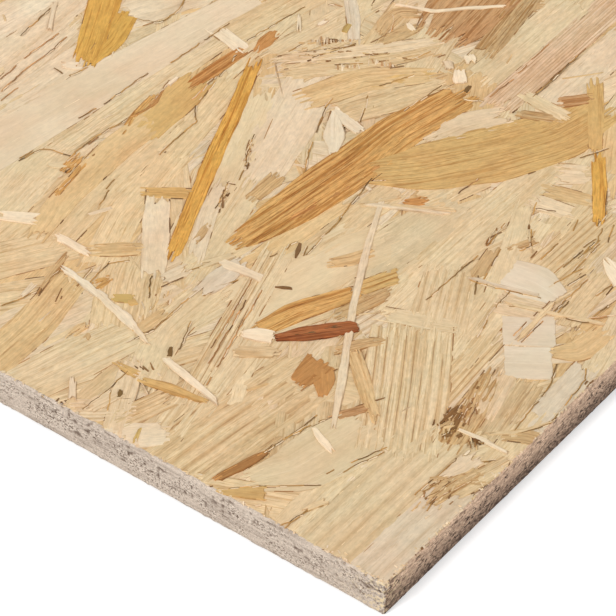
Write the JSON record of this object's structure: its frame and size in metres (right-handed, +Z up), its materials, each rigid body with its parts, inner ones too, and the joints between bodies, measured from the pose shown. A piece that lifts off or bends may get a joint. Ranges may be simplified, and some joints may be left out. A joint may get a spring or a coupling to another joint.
{
  "type": "oriented strand board panel",
  "caption": "Flat rectangular sheet of oriented strand board with square sawn edges, laid flat, for sheathing, decking or cutting to size.",
  "frame": {"origin": "centre of the underside", "axes": "+X along the sheet's length, which is the way most face strands lie; +Y across its width; +Z up through its thickness"},
  "size_m": [2.44, 1.22, 0.018],
  "materials": {
    "strand_board": "pressed pale softwood strands, matt, with sawn edges"
  },
  "bodies": {
    "root": {"osb_panel": "strand_board"}
  },
  "joints": []
}
